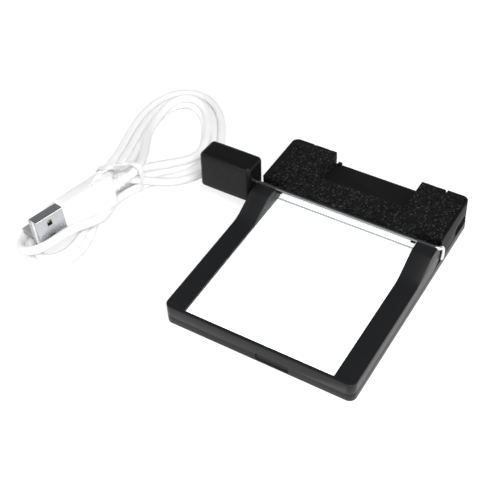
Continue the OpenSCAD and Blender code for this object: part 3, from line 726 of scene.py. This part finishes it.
def lead_route():
    """From the large plug's sleeve over the hank's rounds to the small plug's sleeve."""
    plug_end = PLUG_NOSE + PLUG_BODY + PLUG_RELIEF
    micro_end = MICRO_NOSE + MICRO_BODY + MICRO_RELIEF
    out_of_plug = [plug_frame() @ Vector((x * MM, 0, 0))
                   for x in (plug_end, plug_end + LEAD_STRAIGHT)]
    into_micro = [micro_frame() @ Vector((x * MM, 0, 0))
                  for x in (micro_end + LEAD_STRAIGHT, micro_end)]
    turns = [HANK_LAST + (HANK_FIRST - HANK_LAST) * i / HANK_STEPS for i in range(HANK_STEPS + 1)]
    hank = [hank_point(turn) for turn in turns if turn > LIFTED_AT]
    hank += [at(*point) for point in LIFTED]
    hank += [hank_point(turn) for turn in turns if turn < LANDED_AT]
    return (out_of_plug + [at(*point) for point in LEAD_START] + hank
            + [at(*point) for point in LEAD_END] + into_micro)


def make_lead():
    """The lead as one round cord, its centreline, and its length."""
    route = relaxed(smooth_path(lead_route(), CORD_STEP * MM), CORD_EASING, CORD_HELD)
    curve = bpy.data.curves.new("lead_cord", "CURVE")
    curve.dimensions = "3D"
    line = curve.splines.new("POLY")
    line.points.add(len(route) - 1)
    for point, place in zip(line.points, route):
        point.co = (*place, 1)
    curve.bevel_depth = CORD_R * MM
    curve.bevel_resolution = 5
    curve.use_fill_caps = True
    cord = bpy.data.objects.new("lead_cord", curve)
    bpy.context.scene.collection.objects.link(cord)
    curve.materials.append(FINISH["lead"])
    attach(cord, "base")
    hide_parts("lead_hank", "lead_start", "lead_end")
    return cord, route, sum((b - a).length for a, b in zip(route, route[1:]))


SLEEVE_SIDES, SLEEVE_RINGS = 32, 3
# How far a sleeve reaches into its plug's body, the depth of a groove and the least wall under it,
# and where a groove starts and ends and where the next ring is nearly full, as shares of a pitch.
SLEEVE_ROOT, RING_DEPTH, RING_WALL = 1.2, 0.55, 0.08
GROOVE_FROM, GROOVE_TO, RING_FROM = 0.12, 0.48, 0.6


def sleeve(name, place, start, length, r1, r2):
    """A tapered sleeve with rings cut in it, where a lead leaves a plug."""
    profile = [(start - SLEEVE_ROOT, r1 * 0.9), (start, r1)]
    pitch = length / (SLEEVE_RINGS + 0.5)
    for i in range(SLEEVE_RINGS):
        x = start + pitch * (i + 0.25)
        r = r1 + (r2 - r1) * (x - start) / length
        groove = max(CORD_R + RING_WALL, r - RING_DEPTH)
        profile += [(x, r), (x + GROOVE_FROM * pitch, groove), (x + GROOVE_TO * pitch, groove),
                    (x + RING_FROM * pitch, r - 0.03)]
    profile += [(start + length - 0.3, r2), (start + length, r2 - 0.15)]
    bm = bmesh.new()
    lathe(bm, [(x * MM, r * MM) for x, r in profile], SLEEVE_SIDES)
    obj = object_from(name, bm)
    obj.data.transform(place)
    return obj


def make_rib_tree():
    """Geometry nodes that put a row of rounded finger ribs on both wide faces of a plug's body."""
    tree = bpy.data.node_groups.new("finger_ribs", "GeometryNodeTree")
    for label, kind, value in (
            ("Body", "Geometry", None), ("Count", "Int", 4), ("Start", "Float", 0.0),
            ("Pitch", "Float", 1.5 * MM), ("Face", "Float", 3 * MM),
            ("Half Width", "Float", 0.4 * MM), ("Half Length", "Float", 3 * MM),
            ("Finish", "Material", None)):
        socket = tree.interface.new_socket(
            label, in_out="INPUT", socket_type="NodeSocket" + kind)
        if value is not None:
            socket.default_value = value
    tree.interface.new_socket("Body", in_out="OUTPUT", socket_type="NodeSocketGeometry")
    given = tree.nodes.new("NodeGroupInput").outputs
    drop = add(tree, "GeometryNodeMeshUVSphere", {"Segments": 12, "Rings": 10, "Radius": 1.0})
    shape = add(tree, "ShaderNodeCombineXYZ", {
        "X": given["Half Width"], "Y": given["Half Width"], "Z": given["Half Length"]})
    rib = add(tree, "GeometryNodeTransform", {
        "Geometry": drop.outputs["Mesh"], "Scale": shape.outputs[0]})
    step = add(tree, "ShaderNodeCombineXYZ", {"X": given["Pitch"]})
    points = tree.nodes.new("GeometryNodeJoinGeometry")
    for side in (-1.0, 1.0):
        first = add(tree, "ShaderNodeCombineXYZ", {
            "X": given["Start"], "Y": math_node(tree, "MULTIPLY", given["Face"], side)})
        row = add(tree, "GeometryNodeMeshLine", {
            "Count": given["Count"], "Start Location": first.outputs[0],
            "Offset": step.outputs[0]})
        tree.links.new(row.outputs[0], points.inputs[0])
    ribs = add(tree, "GeometryNodeInstanceOnPoints", {
        "Points": points.outputs[0], "Instance": rib.outputs[0]})
    joined = add(tree, "GeometryNodeJoinGeometry", {0: ribs.outputs[0]})
    tree.links.new(given["Body"], joined.inputs[0])
    real = add(tree, "GeometryNodeRealizeInstances", {0: joined.outputs[0]})
    finished = add(tree, "GeometryNodeSetMaterial", {
        "Geometry": real.outputs[0], "Material": given["Finish"]})
    tree.links.new(finished.outputs[0], tree.nodes.new("NodeGroupOutput").inputs[0])
    return tree


FINGER_RIBS = make_rib_tree()
BODY_ROUND, BODY_TAPER, BODY_NARROWS, NARROWS_FROM = 1.2, 0.06, 0.1, 0.55
# The first rib's place along the body, how deep the ribs sit in its face, and half their length.
RIBS_FROM, RIBS_SUNK, RIB_REACH = 0.58, 0.955, 0.29


def overmould(name, place, start, size, ribs):
    """A plug's body: a round-edged block, slightly narrower towards the lead, with finger ribs."""
    length, thick, tall = size
    bm = rounded_box(size, BODY_ROUND, segments=6)
    for v in bm.verts:
        along = v.co.x / length + 0.5
        v.co.y *= 1 - BODY_TAPER * along * along
        v.co.z *= 1 - BODY_NARROWS * max(0.0, along - NARROWS_FROM)
        v.co.x += start + length / 2
    bmesh.ops.scale(bm, vec=(MM, MM, MM), verts=bm.verts)
    obj = object_from(name, bm)
    row = obj.modifiers.new("ribs", "NODES")
    row.node_group = FINGER_RIBS
    values = {"Count": ribs, "Start": (start + length * RIBS_FROM) * MM,
              "Face": thick / 2 * RIBS_SUNK * MM, "Half Length": tall * RIB_REACH * MM,
              "Finish": FINISH["white_plastic"]}
    for item in FINGER_RIBS.interface.items_tree:
        if item.in_out == "INPUT" and item.name in values:
            row[item.identifier] = values[item.name]
    settle(obj)
    obj.data.transform(place)
    return obj


def make_plug(name, place, nose, body, relief, size, ribs, sleeve_r, wall):
    """A plug's body and its sleeve, in the place of the CAD's."""
    made = overmould(name + "_body", place, nose, (body, *size), ribs)
    dress(made, name + "_overmold")
    ringed = sleeve(name + "_sleeve", place, nose + body, relief, sleeve_r, CORD_R + wall)
    dress(ringed, name + "_relief")
    return [made, ringed]


def make_plugs():
    """The bodies and the sleeves of both plugs."""
    return [*make_plug("plug", plug_frame(), PLUG_NOSE, PLUG_BODY, PLUG_RELIEF, PLUG_SIZE,
                       ribs=4, sleeve_r=2.6, wall=0.25),
            *make_plug("micro", micro_frame(), MICRO_NOSE, MICRO_BODY, MICRO_RELIEF, MICRO_SIZE,
                       ribs=3, sleeve_r=2.3, wall=0.2)]


TIE_Y = 48.6
TIE_LOOP = [(-45.6, 12.6), (-43.4, 12.2), (-42.4, 9.8), (-42.6, 5), (-43, 1.6), (-44.6, 0.25),
            (-54, 0.25), (-62.4, 0.3), (-64.1, 1.8), (-62.8, 3.8), (-58, 5.6), (-52, 8.8),
            (-48, 12), (-45.8, 13)]
TIE_TAIL = [(-46.2, TIE_Y - 0.6, 12.9), (-47.2, TIE_Y - 4, 15.4), (-48.2, 38.6, 17.9),
            (-48.8, 32.6, 18.3), (-48.4, 26.6, 18.2)]
# Half the width and half the thickness of the strip round the runs and of its twisted ends, how
# far each end lies from the middle of the twist, and the whole twist in radians.
TIE_HALF, TAIL_HALF = (0.95, 0.2), (0.6, 0.15)
TAIL_APART, TAIL_TWIST = 0.17, 11


def ribbon(bm, points, half, wide_at):
    """A flat strip along a path; wide_at gives the direction of its width at a share of it."""
    half_width, half_thick = half[0] * MM, half[1] * MM
    rings = []
    for i, point in enumerate(points):
        ahead = ahead_at(points, i)
        wide = wide_at(i / (len(points) - 1))
        wide = (wide - ahead * wide.dot(ahead)).normalized()
        thick = ahead.cross(wide)
        rings.append([bm.verts.new(point + u * half_width * wide + v * half_thick * thick)
                      for u, v in ((-1, -1), (1, -1), (1, 1), (-1, 1))])
    skin(bm, rings)


def make_tie():
    """A thin tie looped round the runs and the large plug's end, with its two ends twisted."""
    bm = bmesh.new()
    loop = smooth_path([at(x, TIE_Y, z) for x, z in TIE_LOOP], 0.6 * MM)
    ribbon(bm, loop, TIE_HALF, lambda share: Vector((0, 1, 0)))
    tail = smooth_path([at(*point) for point in TIE_TAIL], 0.25 * MM)

    def turned(share, quarter=0.0):
        return Vector((cos(TAIL_TWIST * share + quarter), 0, sin(TAIL_TWIST * share + quarter)))

    for side in (-1, 1):
        strand = [point + side * TAIL_APART * MM * turned(i / (len(tail) - 1), pi / 2)
                  for i, point in enumerate(tail)]
        ribbon(bm, strand, TAIL_HALF, turned)
    return dress(object_from("lead_tie_strip", bm), "lead_tie")


lead, lead_path, lead_length = make_lead()
plug_pieces = make_plugs()
tie = make_tie()

# ---------------------------------------------------------------- case

round_edges("base_tray", 0.15)
round_edges("lid_frame", 0.3)
soften("bottom_cover", 0.15)
soften("rear_housing", 0.3).data.materials[0] = plastic(
    "housing_black", (0.0068, 0.007, 0.0076), 0.46, wear=0.5, shine=0.14)

ROD_R, ROD_SIDES, ROD_PIECES = 0.7, 20, 40
ROD_BEND, BEND_PIECES = 1.5, 8
KNUCKLE_R = 4.8
# The hook turns about a point this share of the bend below the knuckle's middle, and ends at this
# angle from the level, at the knuckle's rear.
HOOK_DROP, HOOK_END, HOOK_PIECES = 0.6, -38, 22
ROD_END_SIZE = 0.75


def make_rod():
    """The hinge rod: one drawn wire, straight through the arms and hooked round the right one."""
    low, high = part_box("hinge_rod")
    joint = Vector(frame["joints"][0]["pos_m"])
    lid_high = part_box("lid_frame")[1]
    knuckle = Vector((0, lid_high.y - KNUCKLE_R * MM, lid_high.z - KNUCKLE_R * MM))
    reach = joint - knuckle
    swing = atan2(reach.z, reach.y)
    down = Vector((0, sin(swing), -cos(swing)))
    right = Vector((1, 0, 0))
    hook_x, bend = high.x - ROD_R * MM, ROD_BEND * MM
    corner = Vector((hook_x, joint.y, joint.z))
    start, end = Vector((low.x, joint.y, joint.z)), corner - bend * right
    straight = [start.lerp(end, i / ROD_PIECES) for i in range(ROD_PIECES + 1)]
    angles = [pi / 2 * i / BEND_PIECES for i in range(1, BEND_PIECES + 1)]
    turn = [corner - bend * right + down * bend + bend * (sin(a) * right - cos(a) * down)
            for a in angles]
    centre = Vector((hook_x, knuckle.y, knuckle.z)) + down * bend * HOOK_DROP
    arm = turn[-1] - centre
    first = degrees(atan2(arm.z, arm.y))
    hook = arc(centre, arm.length, first, HOOK_END, HOOK_PIECES)[1:]
    bm = bmesh.new()
    wire(bm, straight + turn + hook, ROD_R * MM, ROD_SIDES, ROD_END_SIZE)
    return dress(object_from("hinge_rod_wire", bm), "hinge_rod")


GRIP_SIZE = (21.3, 9.9, 15.6)
GRIP_LEAN = 3.4
GRIP_ROUND = 1.7
# Edges longer than this are cut, so that the faces can be crowned.
GRIP_LONG, GRIP_CUTS = 3, 5
# How far the middle of the front and rear faces, and of the top and bottom, stands proud.
CROWN_Y, CROWN_Z = 0.12, 0.1


def make_grip():
    """The block grip: soft edges and faintly crowned sides, leaning back a little."""
    low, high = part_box("grip_block")
    centre, size = (low + high) / 2, Vector(GRIP_SIZE) * MM
    bm = rounded_box(size, GRIP_ROUND * MM, segments=8)
    long_edges = [e for e in bm.edges if e.calc_length() > GRIP_LONG * MM]
    bmesh.ops.subdivide_edges(bm, edges=long_edges, cuts=GRIP_CUTS, use_grid_fill=True)
    for v in bm.verts:
        u, w, t = (v.co[k] / (size[k] / 2) for k in range(3))
        v.co.y -= (1 if w > 0 else -1) * CROWN_Y * MM * (u * u + t * t) * 0.5
        v.co.z -= (1 if t > 0 else -1) * CROWN_Z * MM * (u * u + w * w) * 0.5
    grip = object_from("grip_body", bm)
    lean = Matrix.Rotation(radians(-GRIP_LEAN), 4, "X")
    grip.data.transform(Matrix.Translation(centre) @ lean)
    return dress(grip, "grip_block")


WINDOW_ROUND = 0.12


def make_window():
    """The clear window, with eased edges."""
    low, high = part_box("window_plate")
    bm = rounded_box(high - low, WINDOW_ROUND * MM, segments=2)
    bmesh.ops.translate(bm, vec=(low + high) / 2, verts=bm.verts)
    return dress(object_from("window_sheet", bm), "window_plate")


FOAM_CELL, FOAM_EASING = 0.5, 2
# The foam's slow waves and its pits: how far they move its face, and how many there are to a metre.
FOAM_WAVE, WAVES = 0.1, 160
FOAM_PIT, PITS = 0.14, 900
# How far the foam's faces stand out, so that it meets the tabs at its corners.
FOAM_SWELL = 0.06


def make_foam():
    """The foam pad: its cut edges softened, its faces pitted and slightly uneven."""
    pad = object_from("foam_cut", welded_copy("foam_pad", WELD))
    remesh = pad.modifiers.new("cells", "REMESH")
    remesh.mode = "VOXEL"
    remesh.voxel_size = FOAM_CELL * MM
    easing = pad.modifiers.new("easing", "SMOOTH")
    easing.iterations = FOAM_EASING
    settle(pad)
    for v in pad.data.vertices:
        wave, pit = noise.noise(v.co * WAVES), noise.noise(v.co * PITS)
        v.co += v.normal * MM * (FOAM_WAVE * wave + FOAM_PIT * pit + FOAM_SWELL)
    finer = pad.modifiers.new("finer", "SUBSURF")
    finer.levels = finer.render_levels = 1
    settle(pad)
    dress(pad, "foam_pad", smooth_below=pi)
    return pad


make_rod()
make_grip()
make_window()
make_foam()

for name, obj in NODES.items():
    obj.data.materials.clear()
    obj.data.materials.append(FINISH[SLOT_OF[name]])
NODES["diffuser"].data.materials[0] = lit_sheet()
NODES["plug_shell"].data.materials[0] = metal(
    "rolled_shell", (0.64, 0.65, 0.67), 0.15, (60.0, 2600.0, 2600.0), PLUG_TURN)
NODES["micro_shell"].data.materials[0] = metal(
    "satin_shell", (0.85, 0.85, 0.86), 0.45, (80.0, 2600.0, 2600.0), MICRO_TURN)

# ---------------------------------------------------------------- floor, light and background

FLOOR_HALF, FLOOR_Z = 1.5, -0.1 * MM
FLOOR_GLOW = 0.78


def make_stage():
    """A white table: plain paper to the light in the room, and bright to all that looks at it."""
    bm = bmesh.new()
    bmesh.ops.create_grid(bm, x_segments=2, y_segments=2, size=FLOOR_HALF)
    floor = object_from("floor", bm)
    floor.location.z = FLOOR_Z
    material, tree = new_material("floor_white")
    slow = noise_at(tree, own_place(tree), 12.0)
    matte = add(tree, "ShaderNodeBsdfDiffuse", {
        "Color": shade(tree, (0.6, 0.6, 0.6), (0.62, 0.62, 0.62), slow)})
    seen = add(tree, "ShaderNodeBsdfDiffuse", {"Color": (0.3, 0.3, 0.3, 1)})
    glow = add(tree, "ShaderNodeEmission", {"Color": (1, 1, 1, 1), "Strength": FLOOR_GLOW})
    both = add(tree, "ShaderNodeAddShader", {0: seen.outputs[0], 1: glow.outputs[0]})
    path = add(tree, "ShaderNodeLightPath").outputs
    reflected = math_node(tree, "MAXIMUM", path["Is Glossy Ray"], path["Is Transmission Ray"])
    seen_by = math_node(tree, "MAXIMUM", path["Is Camera Ray"], reflected)
    show(tree, add(tree, "ShaderNodeMixShader", {
        0: seen_by, 1: matte.outputs[0], 2: both.outputs[0]}))
    floor.data.materials.append(material)


def area_light(name, place, size, power):
    """A rectangular light that faces the middle of the base."""
    data = bpy.data.lights.new(name, "AREA")
    data.shape = "RECTANGLE"
    data.size, data.size_y = size
    data.energy = power
    light = bpy.data.objects.new(name, data)
    light.location = place
    light.rotation_euler = (-Vector(place)).to_track_quat("-Z", "Y").to_euler()
    bpy.context.scene.collection.objects.link(light)


def make_world():
    """A dim room that is pale low down, all round."""
    world = bpy.data.worlds.new("studio")
    world.use_nodes = True
    bpy.context.scene.world = world
    tree = world.node_tree
    tree.nodes.clear()
    direction = add(tree, "ShaderNodeTexCoord").outputs["Generated"]
    height = add(tree, "ShaderNodeSeparateXYZ", {"Vector": direction}).outputs["Z"]
    room = add(tree, "ShaderNodeBackground", {
        "Color": (1, 1, 1, 1), "Strength": spread(tree, height, 0.02, 0.45, 0.85, 0.16)})
    add(tree, "ShaderNodeOutputWorld", {"Surface": room.outputs[0]})


make_stage()
make_world()
area_light("overhead", (0.36, -0.34, 0.76), (0.45, 0.45), 6.5)
area_light("right", (0.75, 0.05, 0.35), (0.5, 0.4), 2.1)
area_light("left", (-0.7, -0.25, 0.5), (0.5, 0.5), 1.5)
area_light("front", (-0.1, -0.7, 0.3), (0.6, 0.3), 1.8)

scene = bpy.context.scene
scene.view_settings.view_transform = "Standard"
